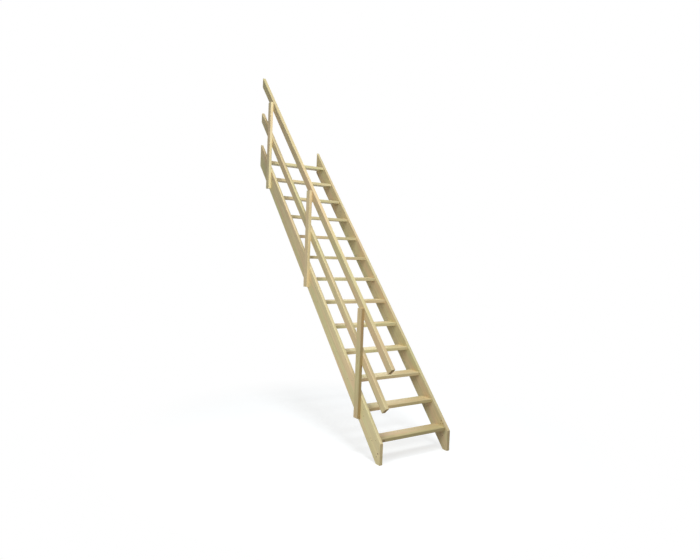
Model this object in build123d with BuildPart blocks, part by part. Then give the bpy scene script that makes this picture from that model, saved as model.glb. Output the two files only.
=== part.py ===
"""Loft ladder: an open softwood stair with thirteen treads and one handrail side.

Millimetres, +Z up. The stair climbs towards +Y and leans against an upright face there. The origin is
the middle of the left stringer's wall end, on the face that lies against the wall or loft trimmer.
"""
from build123d import *
from math import atan2, cos, degrees, radians, sin, tan
import os

os.makedirs("parts", exist_ok=True)

# Stair: rise and going from tread to tread
RISE = 200.0
GOING = 181.0
TREAD_COUNT = 13
FIRST_TREAD_HEIGHT = 196.0
INNER_WIDTH = 682.0
WALL_GAP = 28.0

# Treads and their stopped housings
TREAD_DEPTH = 130.0
TREAD_THICKNESS = 28.0
TREAD_EDGE_RADIUS = 3.0
HOUSING_DEPTH = 10.0
HOUSING_CLEARANCE = 0.1

# Stringers: width is measured square to the slope
STRINGER_WIDTH = 152.0
STRINGER_THICKNESS = 28.0
NOSING_SETBACK = 4.0
FOOT_REACH = 28.0
EDGE_RADIUS = 2.0

# Rails: offsets are measured square to the slope, from the line over the nosings
RAIL_WIDTH = 68.0
RAIL_THICKNESS = 34.0
RAIL_EDGE_RADIUS = 5.0
RAIL_END_RADIUS = 2.0
HANDRAIL_OFFSET = 419.0
KNEE_RAIL_OFFSET = 167.0
HANDRAIL_START = 337.0
KNEE_RAIL_START = 140.0

# Posts: each stands behind the first nosing by its own distance
POST_WIDTH = 60.0
POST_THICKNESS = 28.0
POST_LENGTH = 900.0
POST_TOP_SETBACK = 3.0
POST_PLACES = {"post_lower": 253.0, "post_middle": 1165.0, "post_upper": 2052.0}

# Slope of the stair
PITCH = atan2(RISE, GOING)
ALONG_SLOPE = Axis((0, 0, 0), (0, cos(PITCH), sin(PITCH)))

# Places across the stair, with the left stringer centred on x = 0
LEFT_OUTER_X = -STRINGER_THICKNESS / 2
LEFT_INNER_X = LEFT_OUTER_X + STRINGER_THICKNESS
RIGHT_INNER_X = LEFT_INNER_X + INNER_WIDTH
RIGHT_OUTER_X = RIGHT_INNER_X + STRINGER_THICKNESS

# The wall face is the plane y = 0, and the middle of a stringer's wall end is at z = 0
WALL_Y = 0.0
FIRST_NOSING_Y = WALL_Y - WALL_GAP - TREAD_DEPTH - (TREAD_COUNT - 1) * GOING
STRINGER_FRONT = NOSING_SETBACK
STRINGER_BACK = NOSING_SETBACK - STRINGER_WIDTH
STRINGER_MIDDLE = (STRINGER_FRONT + STRINGER_BACK) / 2
FIRST_NOSING_Z = (FIRST_NOSING_Y - WALL_Y) * tan(PITCH) - STRINGER_MIDDLE / cos(PITCH)
FLOOR_Z = FIRST_NOSING_Z - FIRST_TREAD_HEIGHT
FOOT_Y = FIRST_NOSING_Y - FOOT_REACH


def height_at(y, offset):
    """Height, at y, of the line that runs parallel to the nosings, offset square to the slope."""
    return FIRST_NOSING_Z + (y - FIRST_NOSING_Y) * tan(PITCH) + offset / cos(PITCH)


def place_at(z, offset):
    """Place y, at height z, of the same line."""
    return FIRST_NOSING_Y + (z - FIRST_NOSING_Z - offset / cos(PITCH)) / tan(PITCH)


def slope_point(distance, offset):
    """Point at a distance up the slope from the first nosing, offset square to the slope."""
    y = FIRST_NOSING_Y + distance * cos(PITCH) - offset * sin(PITCH)
    z = FIRST_NOSING_Z + distance * sin(PITCH) + offset * cos(PITCH)
    return (y, z)


def nosing(number):
    """Front top edge of a tread, counted from 1 at the bottom."""
    return (FIRST_NOSING_Y + (number - 1) * GOING, FIRST_NOSING_Z + (number - 1) * RISE)


def build_stringer(name, outer_x, inner_x):
    """Side board with a level and a plumb cut at the foot, a plumb wall end and a housing for each tread."""
    inward = 1 if inner_x > outer_x else -1
    outline = [
        (place_at(FLOOR_Z, STRINGER_BACK), FLOOR_Z),
        (FOOT_Y, FLOOR_Z),
        (FOOT_Y, height_at(FOOT_Y, STRINGER_FRONT)),
        (WALL_Y, height_at(WALL_Y, STRINGER_FRONT)),
        (WALL_Y, height_at(WALL_Y, STRINGER_BACK)),
    ]
    with BuildPart() as stringer:
        with BuildSketch(Plane.YZ.offset(outer_x)):
            with BuildLine():
                Polyline(*outline, close=True)
            make_face()
        extrude(amount=inward * STRINGER_THICKNESS)
        fillet(stringer.edges().filter_by(ALONG_SLOPE), EDGE_RADIUS)
        housing_depth = TREAD_DEPTH + HOUSING_CLEARANCE
        housing_height = TREAD_THICKNESS + HOUSING_CLEARANCE
        with BuildSketch(Plane.YZ.offset(inner_x)):
            for number in range(1, TREAD_COUNT + 1):
                y, z = nosing(number)
                with Locations((y, z - TREAD_THICKNESS)):
                    Rectangle(housing_depth, housing_height, align=(Align.MIN, Align.MIN))
        extrude(amount=-inward * HOUSING_DEPTH, mode=Mode.SUBTRACT)
    stringer.part.label = name
    return stringer.part


def build_tread(name, number):
    """Open tread with eased long edges, its ends in the housings of both stringers."""
    end_x = LEFT_INNER_X - HOUSING_DEPTH + HOUSING_CLEARANCE
    length = INNER_WIDTH + 2 * (HOUSING_DEPTH - HOUSING_CLEARANCE)
    with BuildPart() as tread:
        with BuildSketch(Plane.YZ.offset(end_x)):
            with Locations(nosing(number)):
                Rectangle(TREAD_DEPTH, TREAD_THICKNESS, align=(Align.MIN, Align.MAX))
        extrude(amount=length)
        fillet(tread.edges().filter_by(Axis.X), TREAD_EDGE_RADIUS)
    tread.part.label = name
    return tread.part


def build_rail(name, offset, start):
    """Flat rail with rounded edges, square cut at the foot end and plumb cut at the wall end."""
    outline = [
        slope_point(start, offset),
        slope_point(start, offset + RAIL_WIDTH),
        (WALL_Y, height_at(WALL_Y, offset + RAIL_WIDTH)),
        (WALL_Y, height_at(WALL_Y, offset)),
    ]
    with BuildPart() as rail:
        with BuildSketch(Plane.YZ.offset(LEFT_OUTER_X)):
            with BuildLine():
                Polyline(*outline, close=True)
            make_face()
        extrude(amount=RAIL_THICKNESS)
        fillet(rail.edges().filter_by(ALONG_SLOPE), RAIL_EDGE_RADIUS)
        fillet(rail.faces().sort_by(ALONG_SLOPE)[0].edges(), RAIL_END_RADIUS)
    rail.part.label = name
    return rail.part


def build_post(name, distance):
    """Upright post, flat on the outer faces of the left stringer and both rails, with level cut ends."""
    front_y = FIRST_NOSING_Y + distance
    top_z = height_at(front_y, HANDRAIL_OFFSET + RAIL_WIDTH - POST_TOP_SETBACK)
    with BuildPart() as post:
        with BuildSketch(Plane.XY.offset(top_z - POST_LENGTH)):
            with Locations((LEFT_OUTER_X, front_y)):
                Rectangle(POST_THICKNESS, POST_WIDTH, align=(Align.MAX, Align.MIN))
        extrude(amount=POST_LENGTH)
        fillet(post.edges().filter_by(Axis.Z), EDGE_RADIUS)
    post.part.label = name
    return post.part


pieces = [
    build_stringer("left_stringer", LEFT_OUTER_X, LEFT_INNER_X),
    build_stringer("right_stringer", RIGHT_OUTER_X, RIGHT_INNER_X),
    build_rail("handrail", HANDRAIL_OFFSET, HANDRAIL_START),
    build_rail("knee_rail", KNEE_RAIL_OFFSET, KNEE_RAIL_START),
]
for number in range(1, TREAD_COUNT + 1):
    pieces.append(build_tread(f"tread_{number:02d}", number))
for name, distance in POST_PLACES.items():
    pieces.append(build_post(name, distance))

for piece in pieces:
    export_step(piece, f"parts/{piece.label}.step")

print(f"pitch {degrees(PITCH):.2f} degrees, floor at z = {FLOOR_Z:.1f}, foot at y = {FOOT_Y:.1f}")
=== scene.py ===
"""Dresses the loft ladder: spruce on every board, screws at the joints, a white studio and the camera."""
import random
from math import atan2, cos, pi, radians, sin

import bpy
from mathutils import Matrix, Vector


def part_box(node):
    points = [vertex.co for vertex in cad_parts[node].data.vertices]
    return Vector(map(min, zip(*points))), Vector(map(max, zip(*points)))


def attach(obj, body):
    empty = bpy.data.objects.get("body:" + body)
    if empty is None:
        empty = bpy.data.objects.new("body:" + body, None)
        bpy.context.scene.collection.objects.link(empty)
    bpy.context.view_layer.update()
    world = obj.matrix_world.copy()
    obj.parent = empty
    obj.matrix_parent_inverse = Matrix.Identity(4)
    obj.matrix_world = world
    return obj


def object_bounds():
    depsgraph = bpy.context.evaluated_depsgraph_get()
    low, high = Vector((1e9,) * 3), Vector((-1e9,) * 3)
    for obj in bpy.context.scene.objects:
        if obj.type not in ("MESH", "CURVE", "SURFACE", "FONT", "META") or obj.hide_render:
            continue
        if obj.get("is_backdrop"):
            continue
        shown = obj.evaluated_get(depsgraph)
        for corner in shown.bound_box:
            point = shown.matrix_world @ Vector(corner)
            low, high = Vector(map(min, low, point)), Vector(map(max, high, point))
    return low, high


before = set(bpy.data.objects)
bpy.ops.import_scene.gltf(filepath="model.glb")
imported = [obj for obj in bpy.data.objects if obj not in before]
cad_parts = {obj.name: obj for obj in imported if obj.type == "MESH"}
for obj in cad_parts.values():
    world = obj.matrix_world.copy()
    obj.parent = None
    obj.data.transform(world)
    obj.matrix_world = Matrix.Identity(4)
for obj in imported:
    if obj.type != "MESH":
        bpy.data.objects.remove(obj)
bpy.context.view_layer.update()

bl_info = {
    "name": "Loft ladder",
    "version": (1, 0, 0),
    "blender": (4, 5, 0),
    "location": "View3D > Sidebar > Loft ladder",
    "description": "Spruce boards, screws and a studio for an open loft stair",
    "category": "Object",
}

MM = 0.001
MICRON = 0.000001

# The stair's slope, worked out from two neighbouring treads
first_low, first_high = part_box("tread_01")
second_low, second_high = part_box("tread_02")
GOING = second_low.y - first_low.y
RISE = second_high.z - first_high.z
PITCH = atan2(RISE, GOING)

# Directions of the boards: across the stair, up the slope and square to it
ACROSS = Vector((1, 0, 0))
DEPTHWAYS = Vector((0, 1, 0))
UPRIGHT = Vector((0, 0, 1))
UP_SLOPE = Vector((0, cos(PITCH), sin(PITCH)))
OFF_SLOPE = Vector((0, -sin(PITCH), cos(PITCH)))

# Length, width and thickness directions of the sloping, level and standing boards
SLOPING = (UP_SLOPE, OFF_SLOPE, ACROSS)
LEVEL = (ACROSS, DEPTHWAYS, UPRIGHT)
STANDING = (UPRIGHT, DEPTHWAYS, ACROSS)

TREADS = sorted(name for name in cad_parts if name.startswith("tread_"))
POSTS = sorted(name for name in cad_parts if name.startswith("post_"))
STRINGERS = ["left_stringer", "right_stringer"]
RAILS = ["handrail", "knee_rail"]

# Waves per metre, along a board and across it, of the noises in its wood
PITH_BEND = (1.3, 7.0)
RING_WAVE = (3.0, 22.0)
FIBRES = (9.0, 900.0)
FINE_FIBRES = (60.0, 3200.0)
STREAKS = (1.6, 55.0)
WARM_STREAKS = (1.5, 14.0)
SAP_STREAKS = (1.2, 10.0)

# How far the pith and the rings wander
PITH_WANDER = 12 * MM
RING_WANDER = 3.5 * MM

# Knots: the share of their places that stays empty, the share of a place that they slide along, the range
# of their turns about the pith, their lean along the board, and how far from the pith they are full grown
EMPTY_PLACES = 0.35
KNOT_SLIDE = 0.5
KNOT_TURNS = 1.5
KNOT_LEAN = 0.25
FULL_GROWN = 60 * MM

# How far a knot pushes the rings aside, and over what width, both in radii of the knot
RING_PUSH = 1.6
PUSH_WIDTH = 2.3

# Rings are wider and narrower in turn: waves per metre from the pith, and their depth in rings
RING_DRIFT_WAVES = 90.0
RING_DRIFT = 2.2

# Tints that darken the wood, the first for painted shade along front edges and the second for cut ends, and
# the colours of its eased edges and of a knot's middle
FRONT_SHADE_TINT = (0.62, 0.54, 0.44)
END_TINT = (0.50, 0.40, 0.28)
EDGE_COLOUR = (0.86, 0.75, 0.53)
KNOT_MIDDLE = (0.42, 0.23, 0.10)

# The most that each of these covers of the colour below it
WARM_COVER = 0.80
SAP_COVER = 0.65
EDGE_COVER = 0.16
KNOT_COVER = 0.95

# Relief of a planed face
FIBRE_RELIEF = 24 * MICRON
FINE_RELIEF = 5 * MICRON
LATE_RELIEF = 24 * MICRON
RIPPLE_RELIEF = 0.8 * MICRON
KNOT_SINK = 60 * MICRON
RIPPLE_SPACING = 2.4 * MM

# Screws: across a tread's depth, from the middle of a post's crossings, and down from a post's top
TREAD_SCREWS = (0.24, 0.76)
STRINGER_SCREW_STEP = 65 * MM
RAIL_SCREW_STEP = UP_SLOPE * (11 * MM) + OFF_SLOPE * (12 * MM)
POST_TOP_MARGIN = 20 * MM

# Soft lights: name, place, the point that each is turned to, and width
LIGHTS = (
    ("key", (-0.60, -3.00, 3.10), (0.2, -1.2, -1.1), 1.4),
    ("front", (-0.50, -4.30, 1.30), (0.2, -1.6, -1.6), 1.4),
    ("side", (1.4, -3.5, 2.4), (0.2, -1.2, -1.1), 1.4),
    ("back", (3.3, 0.9, 0.4), (0.3, -1.2, -1.3), 1.6),
    ("fill", (-2.5, -3.0, -1.10), (0.0, -2.0, -2.0), 1.2),
)
LIGHT_COLOUR = (0.925, 1.0, 1.05)
WORLD_COLOUR = (1.0, 0.96, 0.88, 1.0)
WHITE = (1.0, 1.0, 1.0, 1.0)

# The floor, and the distances from its centre between which it fades to plain white
FLOOR_SIZE = 60.0
FLOOR_CENTRE = (0.35, -1.6)
FLOOR_COLOUR = (0.38, 0.38, 0.38, 1.0)
FLOOR_FADE = (1.2, 2.3)


class Term:
    """A number that varies over a surface, with arithmetic that adds Math nodes."""

    def __init__(self, shader, socket):
        self.shader = shader
        self.socket = socket

    def math(self, operation, *others):
        values = dict(enumerate((self, *others)))
        return self.shader.number("ShaderNodeMath", {"operation": operation}, values)

    def __add__(self, other):
        return self.math("ADD", other)

    __radd__ = __add__

    def __mul__(self, other):
        return self.math("MULTIPLY", other)

    __rmul__ = __mul__

    def __sub__(self, other):
        return self.math("SUBTRACT", other)

    def __rsub__(self, other):
        return self.math("MULTIPLY_ADD", -1.0, other)

    def __truediv__(self, other):
        return self.math("DIVIDE", other)

    def size(self):
        return self.math("ABSOLUTE")

    def root(self):
        return self.math("SQRT")

    def floor(self):
        return self.math("FLOOR")

    def fraction(self):
        return self.math("FRACT")

    def least(self, other):
        return self.math("MINIMUM", other)

    def most(self, other):
        return self.math("MAXIMUM", other)

    def ramp(self, low, high):
        """0 below low, 1 above high and smooth between them."""
        settings = {"interpolation_type": "SMOOTHSTEP"}
        values = {"Value": self, "From Min": low, "From Max": high}
        return self.shader.number("ShaderNodeMapRange", settings, values)

    def bell(self, width):
        """1 where the term is 0, and fading with its square over a width."""
        return ((self / width) * (self / width) * -1.0).math("EXPONENT")


class Shader:
    """The node tree of one material, with short ways to add nodes to it."""

    def __init__(self, name):
        self.material = bpy.data.materials.new(name)
        self.material.use_nodes = True
        self.tree = self.material.node_tree
        self.surface = self.tree.nodes["Principled BSDF"]
        self.output = self.tree.nodes["Material Output"]
        self.place = self.node("ShaderNodeTexCoord").outputs["Object"]

    def node(self, kind, settings=None, sockets=None):
        """A new node: its settings first, then the values and links of its sockets."""
        node = self.tree.nodes.new(kind)
        for setting, value in (settings or {}).items():
            setattr(node, setting, value)
        for socket, value in (sockets or {}).items():
            self.feed(node.inputs[socket], value)
        return node

    def feed(self, socket, value):
        if isinstance(value, Term):
            value = value.socket
        if isinstance(value, bpy.types.NodeSocket):
            self.tree.links.new(value, socket)
        else:
            socket.default_value = value

    def number(self, kind, settings, sockets):
        return Term(self, self.node(kind, settings, sockets).outputs[0])

    def measure(self, operation, *vectors):
        """The number that a vector operation gives."""
        node = self.node("ShaderNodeVectorMath", {"operation": operation}, dict(enumerate(vectors)))
        return Term(self, node.outputs["Value"])

    def along(self, vector, direction):
        """Length of a vector along a direction."""
        return self.measure("DOT_PRODUCT", vector, tuple(direction))

    def scaled(self, vector, scale):
        """A vector times a number."""
        return self.node("ShaderNodeVectorMath", {"operation": "SCALE"}, {0: vector, 3: scale}).outputs[0]

    def vector(self, x, y, z):
        return self.node("ShaderNodeCombineXYZ", None, {"X": x, "Y": y, "Z": z}).outputs[0]

    def noise(self, vector, detail=2.0, roughness=0.5):
        """Soft noise about 0, mostly within 0.5 either way, with one wave per unit of the vector."""
        sockets = {"Vector": vector, "Scale": 1.0, "Detail": detail, "Roughness": roughness}
        return self.number("ShaderNodeTexNoise", {"noise_dimensions": "3D"}, sockets) - 0.5

    def draws(self, seed):
        """Four numbers from 0 to 1 drawn anew for each value of a seed."""
        node = self.node("ShaderNodeTexWhiteNoise", {"noise_dimensions": "1D"}, {"W": seed})
        parts = self.node("ShaderNodeSeparateColor", None, {0: node.outputs["Color"]}).outputs
        return [Term(self, node.outputs["Value"])] + [Term(self, part) for part in parts[:3]]

    def mix(self, factor, colour_a, colour_b, blend="MIX"):
        """Colour a where the factor is 0, and colour b where it is 1."""
        settings = {"data_type": "RGBA", "blend_type": blend, "clamp_factor": True}
        sockets = {0: factor, 6: as_colour(colour_a), 7: as_colour(colour_b)}
        return self.node("ShaderNodeMix", settings, sockets).outputs[2]

    def tinted(self, level, tint):
        """A tint of a varying level."""
        sockets = {index: level * part for index, part in enumerate(tint)}
        return self.node("ShaderNodeCombineColor", None, sockets).outputs[0]

    def bump(self, height):
        """A normal from a height in metres."""
        node = self.node("ShaderNodeBump", None, {"Strength": 1.0, "Distance": 1.0, "Height": height})
        return node.outputs["Normal"]

    def finish(self, **sockets):
        names = {"colour": "Base Color", "roughness": "Roughness", "normal": "Normal", "metallic": "Metallic"}
        for name, value in sockets.items():
            self.feed(self.surface.inputs[names[name]], value)
        return self.material


def as_colour(value):
    """A colour with its alpha, or a socket as it is."""
    if isinstance(value, (bpy.types.NodeSocket, Term)):
        return value
    return (*value, 1.0)


class Board:
    """A board of the frame: its length, width and thickness directions, its middle and half sizes."""

    def __init__(self, name, length, wide, thin):
        self.name = name
        self.axes = (length, wide, thin)
        points = [vertex.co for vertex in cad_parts[name].data.vertices]
        spans = [(min(p.dot(axis) for p in points), max(p.dot(axis) for p in points)) for axis in self.axes]
        self.middle = [(low + high) / 2 for low, high in spans]
        self.half = [(high - low) / 2 for low, high in spans]


def colour_setting(name, description, default):
    return bpy.props.FloatVectorProperty(
        name=name, description=description, default=default, subtype="COLOR", size=3, min=0.0, max=1.0)


def length_setting(name, description, default, low, high):
    return bpy.props.FloatProperty(
        name=name, description=description, default=default, subtype="DISTANCE", unit="LENGTH",
        min=low, max=high)


def angle_setting(name, description, degrees):
    return bpy.props.FloatProperty(
        name=name, description=description, default=radians(degrees), subtype="ANGLE", unit="ROTATION")


def power_setting(name, description, watts):
    return bpy.props.FloatProperty(
        name=name, description=description, default=watts, subtype="POWER", unit="POWER",
        min=0.0, max=5000.0)


class WoodSettings(bpy.types.PropertyGroup):
    early_colour: colour_setting(
        "Early wood", "Colour of the wide pale part of each growth ring", (0.70, 0.585, 0.325))
    late_colour: colour_setting(
        "Late wood", "Colour of the thin dark end of each growth ring", (0.48, 0.335, 0.14))
    warm_colour: colour_setting(
        "Warm streaks", "Reddish tone that some stretches of the boards have", (0.71, 0.505, 0.285))
    sap_colour: colour_setting(
        "Sap wood", "Greenish yellow tone that other stretches have", (0.60, 0.56, 0.265))
    knot_colour: colour_setting("Knots", "Colour of the knots", (0.20, 0.10, 0.04))
    ring_width: length_setting(
        "Ring width", "Usual width of a growth ring", 2.8 * MM, 0.5 * MM, 10 * MM)
    knot_radius: length_setting(
        "Knot radius", "Largest radius of the knots that grow in whorls", 6.5 * MM, 1 * MM, 30 * MM)
    whorl_spacing: length_setting(
        "Whorl spacing", "Length of board that holds one place for a knot", 0.42, 0.1, 2.0)


class ScrewSettings(bpy.types.PropertyGroup):
    head_diameter: length_setting(
        "Head diameter", "Diameter of a raised screw head", 8.4 * MM, 3 * MM, 20 * MM)
    head_rise: length_setting(
        "Head rise", "How far a head stands proud of the wood", 1.1 * MM, 0.2 * MM, 5 * MM)
    recess_depth: length_setting(
        "Recess depth", "Depth of the six-lobed recess", 0.9 * MM, 0.1 * MM, 3 * MM)
    zinc_colour: colour_setting("Zinc", "Colour of the yellow zinc plating", (0.55, 0.44, 0.24))


class StageSettings(bpy.types.PropertyGroup):
    camera_place: bpy.props.FloatVectorProperty(
        name="Camera place", description="Where the camera stands",
        default=(-2.668, -5.798, -1.007), subtype="TRANSLATION", unit="LENGTH", size=3)
    camera_heading: angle_setting(
        "Camera heading", "Turn of the camera to its left from the way the stair climbs", -33.906)
    camera_tilt: angle_setting("Camera tilt", "Tilt of the camera above the level", -2.917)
    camera_roll: angle_setting("Camera roll", "Turn of the camera about its own line of sight", 2.237)
    camera_lens: bpy.props.FloatProperty(
        name="Camera lens", description="Focal length in millimetres on a 36 mm sensor",
        default=29.24, min=5.0, max=200.0)
    world_level: bpy.props.FloatProperty(
        name="World level", description="Strength of the even light from all round",
        default=0.16, min=0.0, max=5.0)
    floor_glow: bpy.props.FloatProperty(
        name="Floor glow", description="How much the floor is lifted towards white where the camera sees it",
        default=0.67, min=0.0, max=1.0)
    key_power: power_setting(
        "Key power", "Power of the soft light high above the foot, on the rail side", 134.0)
    front_power: power_setting("Front power", "Power of the soft light in front of the foot", 46.0)
    side_power: power_setting(
        "Side power", "Power of the soft light above the foot, on the open side", 26.0)
    back_power: power_setting(
        "Back power", "Power of the soft light behind the stair, on the open side", 75.0)
    fill_power: power_setting("Fill power", "Power of the low light on the rail side", 34.0)


def spruce(board, wood, seed, tone, brown, front_shade, end_shade, pin_knots=()):
    """Planed spruce: growth rings about a pith, fibres, knots that cross the board and eased edges.

    Tone is the board's lightness, brown how far its colour has browned, front shade how dark the shade
    painted along its front edge is, and end shade how dark its ends are.
    Pin knots are (place, radius): small round ones, each about a place on the board's surface.
    """
    draw = random.Random(seed)
    s = Shader(f"spruce_{board.name}")
    u, v, w = (s.along(s.place, axis) - middle for axis, middle in zip(board.axes, board.middle))

    def wood_noise(waves, detail, roughness=0.5, shifts=(0.0, 0.0, 0.0)):
        """Noise drawn out along the board, moved by a shift on each axis."""
        counts = (waves[0], waves[1], waves[1])
        moved = zip((u, v, w), counts, shifts)
        place = [value * count + shift if shift else value * count for value, count, shift in moved]
        return s.noise(s.vector(*place), detail, roughness)

    # The pith runs beside the board, a little out of line with it
    side = draw.choice((-1, 1))
    pith_v = draw.uniform(-0.3, 0.3) * board.half[1]
    pith_w = side * (board.half[2] + draw.uniform(12, 45) * MM)
    lean_v = draw.uniform(-0.012, 0.012)
    lean_w = draw.uniform(0.004, 0.010) * draw.choice((-1, 1))
    start = draw.uniform(0, 50)
    bend = wood_noise(PITH_BEND, 1.0, shifts=(start, 0.0, 0.0)) * PITH_WANDER
    across = v - pith_v - u * lean_v + bend
    outward = (w - pith_w - u * lean_w) * -side

    # Knots: each grows outwards from the pith and pushes the rings aside
    place = ((u + start) / wood.whorl_spacing).floor()
    pick, turn, slide, swell = s.draws(place + seed * 7.3)
    knot_u = (place + 0.5 + (slide - 0.5) * KNOT_SLIDE) * wood.whorl_spacing - start
    angle = (turn - 0.5) * KNOT_TURNS
    cosine, sine = angle.math("COSINE"), angle.math("SINE")
    reach = outward * cosine + across * sine
    beside = across * cosine - outward * sine
    off_u = u - knot_u - reach * KNOT_LEAN
    distance = (off_u * off_u + beside * beside).root()
    present = pick.ramp(EMPTY_PLACES, EMPTY_PLACES + 0.01)
    radius = (swell * 0.75 + 0.3) * wood.knot_radius * (reach / FULL_GROWN).least(1.15).most(0.05)
    knots = [(distance, radius, present)]
    for centre, pin_radius in pin_knots:
        knots.append((s.measure("DISTANCE", s.place, centre), pin_radius, 1.0))

    # Growth rings
    wave = wood_noise(RING_WAVE, 2.0, shifts=(0.0, start, 0.0)) * RING_WANDER
    ring_distance = (across * across + outward * outward).root() + wave
    knot_mask, knot_core = 0.0, 0.0
    for distance, radius, present in knots:
        radii = distance / radius
        ring_distance = ring_distance + radii.bell(PUSH_WIDTH) * radius * present * RING_PUSH
        knot_mask = (1.0 - radii.ramp(0.82, 1.05)) * present + knot_mask
        knot_core = radii.bell(0.55) * present + knot_core
    drift = s.noise(s.vector(ring_distance * RING_DRIFT_WAVES, start, 0.0), 1.0)
    phase = ring_distance / wood.ring_width + drift * RING_DRIFT
    through_ring = phase.fraction()
    strength = s.draws(phase.floor() + seed)[0] * 0.65 + 0.35
    late = through_ring.ramp(0.30, 0.93) * (1.0 - through_ring.ramp(0.95, 1.0)) * strength

    # Fibres and streaks run along the board
    fibre = wood_noise(FIBRES, 3.0, 0.6)
    fine = wood_noise(FINE_FIBRES, 1.0, shifts=(0.0, 0.0, start))
    streak = wood_noise(STREAKS, 3.0, 0.55, shifts=(start, 0.0, 0.0))
    warm = wood_noise(WARM_STREAKS, 3.0, shifts=(0.0, start, 0.0))
    sap = wood_noise(SAP_STREAKS, 3.0, shifts=(0.0, 0.0, start * 2.0))

    # Where the board ends, its cut ends and its long edges
    facing = s.along(s.node("ShaderNodeNewGeometry").outputs["Normal"], board.axes[0]).size()
    end_grain = facing.ramp(0.5, 0.72)
    gap_u, gap_v, gap_w = (half - value.size() for value, half in zip((u, v, w), board.half))
    edge_gap = gap_u.least(gap_v).most(gap_u.most(gap_v).least(gap_w))
    edge = 1.0 - (edge_gap + fibre * (4 * MM)).ramp(0.4 * MM, 3.2 * MM)

    # The rings' colours, their streaks and the board's own tone
    colour = s.mix(late * 0.75 + fibre * 0.45 + 0.06, wood.early_colour, wood.late_colour)
    colour = s.mix((warm + 0.10).ramp(0.0, 0.28) * WARM_COVER, colour, wood.warm_colour)
    colour = s.mix((sap + 0.06).ramp(0.0, 0.28) * SAP_COVER, colour, wood.sap_colour)
    level = streak * 0.34 + fine * 0.10 + 1.0
    tint = (tone, tone * (1.0 - 0.06 * brown), tone * (1.0 - 0.12 * brown))
    colour = s.mix(1.0, colour, s.tinted(level, tint), "MULTIPLY")

    # Painted shade along the front edge, cut ends, eased edges and knots
    if front_shade:
        # Painted shade: darker towards the front edge, standing in for the shade on the front faces low on
        # the stair
        near_front = (v * (-1.0 / board.half[1]) + streak * 0.15).ramp(0.72, 1.0)
        colour = s.mix(near_front * front_shade, colour, s.mix(1.0, colour, FRONT_SHADE_TINT, "MULTIPLY"))
    colour = s.mix(end_grain * end_shade, colour, s.mix(1.0, colour, END_TINT, "MULTIPLY"))
    colour = s.mix(edge * (1.0 - end_grain) * EDGE_COVER, colour, EDGE_COLOUR)
    colour = s.mix(knot_mask * KNOT_COVER, colour, s.mix(knot_core, wood.knot_colour, KNOT_MIDDLE))

    # Planed faces are a little ribbed across the grain, and the late wood stands proud
    ripple = (u * (2 * pi / RIPPLE_SPACING)).math("SINE")
    height = fibre * FIBRE_RELIEF + fine * FINE_RELIEF + late * LATE_RELIEF + ripple * RIPPLE_RELIEF
    height = height - knot_mask * KNOT_SINK
    rough = fibre * 0.25 + fine * 0.12 - late * 0.07 + end_grain * 0.15 - knot_mask * 0.12 + 0.56
    return s.finish(colour=colour, roughness=rough, normal=s.bump(height))


def dress(names, axes, wood, tones, first_seed, end_shade, pin_knots=None):
    """Gives each named board its own spruce: tones are (lightness, brown, front shade), one for each board,
    front shade being painted shade along its front edge.
    """
    for number, name in enumerate(names):
        board = Board(name, *axes)
        pins = (pin_knots or {}).get(name, ())
        material = spruce(board, wood, first_seed + number, *tones[number], end_shade, pins)
        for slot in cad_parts[name].material_slots:
            slot.material = material


def zinc_plate(screws):
    """Yellow zinc on steel, a little dulled."""
    s = Shader("yellow_zinc")
    cloud = s.noise(s.scaled(s.place, 700.0), 3.0)
    grain = s.noise(s.scaled(s.place, 5000.0), 1.0)
    zinc = tuple(screws.zinc_colour)
    dull = tuple(part * shade for part, shade in zip(zinc, (0.86, 0.80, 0.62)))
    height = grain * (6 * MICRON) + cloud * (8 * MICRON)
    return s.finish(
        colour=s.mix(cloud + 0.5, zinc, dull), roughness=cloud * 0.3 + 0.38, metallic=0.9,
        normal=s.bump(height))


def pick_only(obj):
    """Leaves one object selected and active."""
    bpy.ops.object.select_all(action="DESELECT")
    obj.select_set(True)
    bpy.context.view_layer.objects.active = obj


def pick_parts(obj, kind, test):
    """Selects, in edit mode, the vertices (VERT) or the faces (FACE) that pass a test."""
    bpy.ops.mesh.select_mode(type=kind)
    bpy.ops.mesh.select_all(action="DESELECT")
    bpy.ops.object.mode_set(mode="OBJECT")
    parts = {"VERT": obj.data.vertices, "FACE": obj.data.polygons}[kind]
    for part in parts:
        part.select = test(part)
    bpy.ops.object.mode_set(mode="EDIT")


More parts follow.
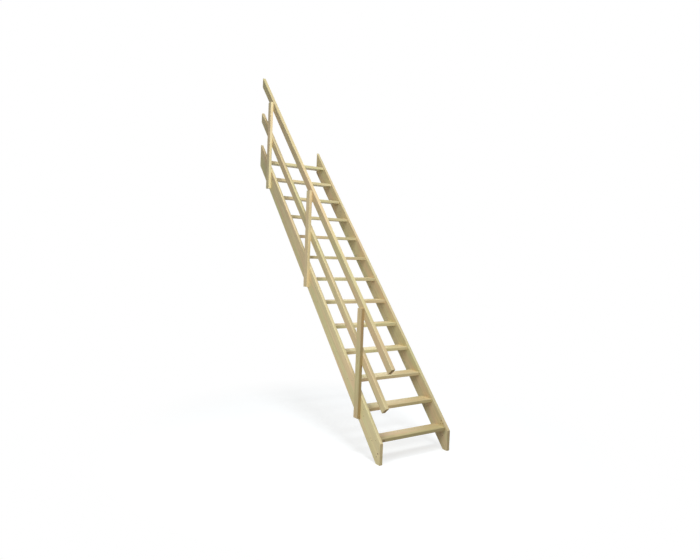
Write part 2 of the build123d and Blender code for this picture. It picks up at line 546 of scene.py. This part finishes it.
def model_screw(screws):
    """A raised screw head with a six-lobed recess, its flat underside at the origin and facing +Z."""
    radius = screws.head_diameter / 2
    rise = screws.head_rise
    rim = rise * 0.3
    lip = radius * 0.04
    lobe = pi / 3
    lobe_pinch = 0.70
    floor_taper = 0.88
    bpy.ops.object.select_all(action="DESELECT")
    bpy.ops.mesh.primitive_cylinder_add(vertices=24, radius=radius, depth=rim, location=(0, 0, rim / 2))
    screw = bpy.context.object
    bpy.ops.object.transform_apply(location=True)
    bpy.ops.object.mode_set(mode="EDIT")
    pick_parts(screw, "FACE", lambda face: face.normal.z > 0.9)

    # The dome, in rings that follow a circle's arc
    inner = radius
    height = rim
    for share in (0.86, 0.68, 0.50):
        top = rim + (rise - rim) * (1.0 - share * share)
        bpy.ops.mesh.inset(thickness=inner - radius * share, depth=0.0)
        bpy.ops.transform.translate(value=(0, 0, top - height))
        inner, height = radius * share, top

    # The recess: alternate sides drawn in, then the floor sunk
    bpy.ops.mesh.inset(thickness=lip, depth=0.0)

    def between_lobes(vertex):
        place = vertex.co
        near = abs(atan2(place.y, place.x) % lobe - lobe / 2) < 0.05
        return near and place.z > rise * 0.5 and place.xy.length < (inner - lip) * 1.03

    def recess_floor(face):
        return face.normal.z > 0.9 and face.center.z > rise * 0.5 and face.center.xy.length < lip

    pick_parts(screw, "VERT", between_lobes)
    bpy.ops.transform.resize(value=(lobe_pinch, lobe_pinch, 1.0), center_override=(0, 0, height))
    pick_parts(screw, "FACE", recess_floor)
    bpy.ops.mesh.extrude_region_move(TRANSFORM_OT_translate={"value": (0, 0, -screws.recess_depth)})
    bpy.ops.transform.resize(value=(floor_taper, floor_taper, 1.0), center_override=(0, 0, height))
    bpy.ops.object.mode_set(mode="OBJECT")
    bpy.ops.object.shade_smooth_by_angle(angle=radians(35))
    return screw


def set_screws(name, template, places, direction, material):
    """Copies of a screw at places on a face, heads towards a direction, joined as one piece."""
    turn = direction.to_track_quat("Z", "Y").to_matrix().to_4x4()
    spin = random.Random(name)
    copies = []
    for place in places:
        copy = template.copy()
        copy.data = template.data.copy()
        bpy.context.scene.collection.objects.link(copy)
        copy.matrix_world = Matrix.Translation(place) @ turn @ Matrix.Rotation(spin.uniform(0, pi), 4, "Z")
        copies.append(copy)
    bpy.ops.object.select_all(action="DESELECT")
    for copy in copies:
        copy.select_set(True)
    piece = copies[0]
    bpy.context.view_layer.objects.active = piece
    bpy.ops.object.join()
    pick_only(piece)
    bpy.ops.object.transform_apply(location=True, rotation=True, scale=True)
    piece.name = name
    piece.data.materials.clear()
    piece.data.materials.append(material)
    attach(piece, "root")
    return piece


class LADDER_OT_stringers(bpy.types.Operator):
    """Spruce on both stringers, with the small knots at the feet"""
    bl_idname = "loft_ladder.stringers"
    bl_label = "Stringers"

    def execute(self, context):
        knots = {
            "left_stringer": [
                ((-0.014, -2.332, -2.577), 7.0 * MM),
                ((-0.014, -2.313, -2.606), 5.0 * MM),
                ((-0.014, -2.249, -2.497), 4.5 * MM),
            ],
            "right_stringer": [
                ((0.696, -2.277, -2.425), 7.0 * MM),
                ((0.696, -2.270, -2.451), 4.0 * MM),
                ((0.696, -2.292, -2.447), 4.5 * MM),
            ],
        }
        tones = [(1.20, 0.0, 0.0), (0.98, 0.0, 0.0)]
        wood = context.scene.loft_ladder_wood
        dress(STRINGERS, SLOPING, wood, tones, first_seed=11, end_shade=0.25, pin_knots=knots)
        return {"FINISHED"}


class LADDER_OT_treads(bpy.types.Operator):
    """Spruce on the treads, each from its own board"""
    bl_idname = "loft_ladder.treads"
    bl_label = "Treads"

    def execute(self, context):
        knots = {"tread_01": [((0.042, -2.330, -2.484), 10.0 * MM)]}
        lightness = (0.86, 0.96, 1.03, 1.12, 1.10, 1.05, 1.03, 0.92, 1.00, 0.97, 1.03, 1.07, 1.10)
        brown = (1.0, 0.8, 0.1, 0.0, 0.0, 0.0, -0.2, 0.0, -0.2, -0.2, -0.4, -0.7, -0.8)
        # Painted shade along the front edges of the two lowest treads
        front_shade = (0.3, 0.1) + (0.0,) * 11
        tones = list(zip(lightness, brown, front_shade))
        wood = context.scene.loft_ladder_wood
        dress(TREADS, LEVEL, wood, tones, first_seed=31, end_shade=0.4, pin_knots=knots)
        return {"FINISHED"}


class LADDER_OT_rails(bpy.types.Operator):
    """Spruce on the handrail and the knee rail"""
    bl_idname = "loft_ladder.rails"
    bl_label = "Rails"

    def execute(self, context):
        tones = [(0.91, 0.5, 0.0), (1.03, 0.3, 0.0)]
        wood = context.scene.loft_ladder_wood
        dress(RAILS, SLOPING, wood, tones, first_seed=61, end_shade=0.9)
        return {"FINISHED"}


class LADDER_OT_posts(bpy.types.Operator):
    """Spruce on the three posts"""
    bl_idname = "loft_ladder.posts"
    bl_label = "Posts"

    def execute(self, context):
        knots = {"post_lower": [((-0.018, -2.077, -1.938), 10.0 * MM)]}
        # The third of each tone is painted shade along the front edge, strongest on the lowest post
        tones = [(0.97, 0.6, 0.9), (1.18, -0.2, 0.3), (1.20, -0.4, 0.0)]
        wood = context.scene.loft_ladder_wood
        dress(POSTS, STANDING, wood, tones, first_seed=71, end_shade=0.5, pin_knots=knots)
        return {"FINISHED"}


class LADDER_OT_screws(bpy.types.Operator):
    """Raised screw heads: through the stringers into the treads, and from inside into the posts"""
    bl_idname = "loft_ladder.screws"
    bl_label = "Screws"

    def execute(self, context):
        screws = context.scene.loft_ladder_screws
        template = model_screw(screws)
        material = zinc_plate(screws)
        outer_faces = (
            ("tread_screws_left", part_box("left_stringer")[0].x, -ACROSS),
            ("tread_screws_right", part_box("right_stringer")[1].x, ACROSS),
        )
        for name, face_x, direction in outer_faces:
            places = [Vector((face_x, y, z)) for y, z in self.tread_places()]
            set_screws(name, template, places, direction, material)
        set_screws("post_screws", template, self.stringer_places(), ACROSS, material)
        set_screws("rail_screws", template, self.rail_places(), ACROSS, material)
        bpy.data.objects.remove(template)
        return {"FINISHED"}

    @staticmethod
    def tread_places():
        """Depth and height of the two screws at a tread's end, tread by tread."""
        places = []
        for name in TREADS:
            low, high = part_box(name)
            for share in TREAD_SCREWS:
                places.append((low.y + (high.y - low.y) * share, (low.z + high.z) / 2))
        return places

    def stringer_places(self):
        """Two screws from inside the left stringer into the foot of each post."""
        stringer = Board("left_stringer", *SLOPING)
        face_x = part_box("left_stringer")[1].x
        places = []
        for name in POSTS:
            low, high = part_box(name)
            y = (low.y + high.y) / 2
            top_z = self.height_on(stringer, 1, y)
            bottom_z = max(low.z, self.height_on(stringer, -1, y))
            for step in (-STRINGER_SCREW_STEP, STRINGER_SCREW_STEP):
                places.append(Vector((face_x, y, (top_z + bottom_z) / 2 + step)))
        return places

    def rail_places(self):
        """Two screws from inside each rail into each post."""
        rails = [(Board(name, *SLOPING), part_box(name)[1].x) for name in RAILS]
        places = []
        for name in POSTS:
            low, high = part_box(name)
            y = (low.y + high.y) / 2
            for rail, face_x in rails:
                middle_z = (self.height_on(rail, 1, y) + self.height_on(rail, -1, y)) / 2
                crossing = Vector((face_x, y, min(middle_z, high.z - POST_TOP_MARGIN)))
                places += [crossing - RAIL_SCREW_STEP, crossing + RAIL_SCREW_STEP]
        return places

    @staticmethod
    def height_on(board, side, y):
        """Height, at y, of a sloping board's upper (1) or lower (-1) long edge."""
        offset = board.middle[1] + side * board.half[1]
        return (offset + y * sin(PITCH)) / cos(PITCH)


class LADDER_OT_stage(bpy.types.Operator):
    """White floor, soft studio light and the camera of the photograph"""
    bl_idname = "loft_ladder.stage"
    bl_label = "Stage"

    def execute(self, context):
        stage = context.scene.loft_ladder_stage
        self.add_floor(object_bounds()[0], stage)
        self.add_world(context.scene, stage)
        for name, place, target, width in LIGHTS:
            self.add_light(name, place, target, width, getattr(stage, f"{name}_power"))
        self.add_camera(context.scene, stage)
        context.scene.view_settings.view_transform = "Standard"
        return {"FINISHED"}

    @staticmethod
    def add_floor(low, stage):
        """A white floor that fades to plain white away from the stair."""
        bpy.ops.object.select_all(action="DESELECT")
        bpy.ops.mesh.primitive_plane_add(size=FLOOR_SIZE, location=(*FLOOR_CENTRE, low[2]))
        floor = bpy.context.object
        floor.name = "studio_floor"
        s = Shader("studio_white")
        s.finish(colour=FLOOR_COLOUR, roughness=0.9)
        s.surface.inputs["Specular IOR Level"].default_value = 0.0
        far = s.measure("LENGTH", s.place).ramp(*FLOOR_FADE)
        path = s.node("ShaderNodeLightPath").outputs
        camera, glossy, through = (
            Term(s, path[f"Is {kind} Ray"]) for kind in ("Camera", "Glossy", "Transmission"))
        seen = (camera + glossy + through).least(1.0)

        # Near the stair the floor glows and takes shadows, and far away it is plain white
        glow = s.node("ShaderNodeEmission", None, {"Strength": stage.floor_glow}).outputs[0]
        matt = s.surface.outputs[0]
        glowing = s.node("ShaderNodeAddShader", None, {0: matt, 1: glow}).outputs[0]
        near = s.node("ShaderNodeMixShader", None, {0: seen, 1: matt, 2: glowing}).outputs[0]
        plain = s.node("ShaderNodeEmission", None, {"Color": WHITE, "Strength": 1.0}).outputs[0]
        mixed = s.node("ShaderNodeMixShader", None, {0: far * seen, 1: near, 2: plain}).outputs[0]
        s.feed(s.output.inputs["Surface"], mixed)

        # The glow is only for the eye, so no light samples go to it
        s.material.cycles.emission_sampling = "NONE"
        floor.data.materials.append(s.material)
        floor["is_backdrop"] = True

    @staticmethod
    def add_world(scene, stage):
        """Even pale light, and plain white where the camera sees past the floor."""
        world = bpy.data.worlds.new("studio")
        world.use_nodes = True
        scene.world = world
        tree = world.node_tree
        background = tree.nodes["Background"]
        background.inputs["Color"].default_value = WORLD_COLOUR
        background.inputs["Strength"].default_value = stage.world_level
        backdrop = tree.nodes.new("ShaderNodeBackground")
        backdrop.inputs["Color"].default_value = WHITE
        backdrop.inputs["Strength"].default_value = 1.0
        path = tree.nodes.new("ShaderNodeLightPath")
        seen = path.outputs["Is Camera Ray"]
        for kind in ("Is Glossy Ray", "Is Transmission Ray"):
            either = tree.nodes.new("ShaderNodeMath")
            either.operation = "MAXIMUM"
            tree.links.new(seen, either.inputs[0])
            tree.links.new(path.outputs[kind], either.inputs[1])
            seen = either.outputs[0]
        mixed = tree.nodes.new("ShaderNodeMixShader")
        tree.links.new(seen, mixed.inputs[0])
        tree.links.new(background.outputs[0], mixed.inputs[1])
        tree.links.new(backdrop.outputs[0], mixed.inputs[2])
        tree.links.new(mixed.outputs[0], tree.nodes["World Output"].inputs["Surface"])

    @staticmethod
    def add_light(name, place, target, width, power):
        """A square soft light that points at a target."""
        data = bpy.data.lights.new(name, "AREA")
        data.size = width
        data.energy = power
        data.color = LIGHT_COLOUR
        light = bpy.data.objects.new(name, data)
        bpy.context.scene.collection.objects.link(light)
        light.location = place
        light.rotation_euler = (Vector(target) - Vector(place)).to_track_quat("-Z", "Y").to_euler()
        light.visible_camera = False

    @staticmethod
    def add_camera(scene, stage):
        """The camera, turned by its heading, tilt and roll."""
        data = bpy.data.cameras.new("camera")
        data.lens = stage.camera_lens
        data.sensor_width = 36.0
        camera = bpy.data.objects.new("camera", data)
        scene.collection.objects.link(camera)
        heading = Matrix.Rotation(stage.camera_heading, 4, "Z")
        tilt = Matrix.Rotation(pi / 2 + stage.camera_tilt, 4, "X")
        roll = Matrix.Rotation(stage.camera_roll, 4, "Z")
        camera.matrix_world = Matrix.Translation(stage.camera_place) @ heading @ tilt @ roll
        scene.camera = camera


class LADDER_PT_panel(bpy.types.Panel):
    """The steps that dress the loft ladder"""
    bl_idname = "LADDER_PT_panel"
    bl_label = "Loft ladder"
    bl_space_type = "VIEW_3D"
    bl_region_type = "UI"
    bl_category = "Loft ladder"

    def draw(self, context):
        for operator in OPERATORS:
            self.layout.operator(operator.bl_idname)
        for group in ("loft_ladder_wood", "loft_ladder_screws", "loft_ladder_stage"):
            settings = getattr(context.scene, group)
            box = self.layout.box()
            for name in settings.__annotations__:
                box.prop(settings, name)


OPERATORS = (
    LADDER_OT_stringers,
    LADDER_OT_treads,
    LADDER_OT_rails,
    LADDER_OT_posts,
    LADDER_OT_screws,
    LADDER_OT_stage,
)
GROUPS = (WoodSettings, ScrewSettings, StageSettings)


def register():
    for cls in (*GROUPS, *OPERATORS, LADDER_PT_panel):
        bpy.utils.register_class(cls)
    bpy.types.Scene.loft_ladder_wood = bpy.props.PointerProperty(type=WoodSettings)
    bpy.types.Scene.loft_ladder_screws = bpy.props.PointerProperty(type=ScrewSettings)
    bpy.types.Scene.loft_ladder_stage = bpy.props.PointerProperty(type=StageSettings)


def unregister():
    del bpy.types.Scene.loft_ladder_stage
    del bpy.types.Scene.loft_ladder_screws
    del bpy.types.Scene.loft_ladder_wood
    for cls in reversed((*GROUPS, *OPERATORS, LADDER_PT_panel)):
        bpy.utils.unregister_class(cls)


def main():
    """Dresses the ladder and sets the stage."""
    register()
    bpy.ops.loft_ladder.stringers()
    bpy.ops.loft_ladder.treads()
    bpy.ops.loft_ladder.rails()
    bpy.ops.loft_ladder.posts()
    bpy.ops.loft_ladder.screws()
    bpy.ops.loft_ladder.stage()


if __name__ == "__main__":
    main()
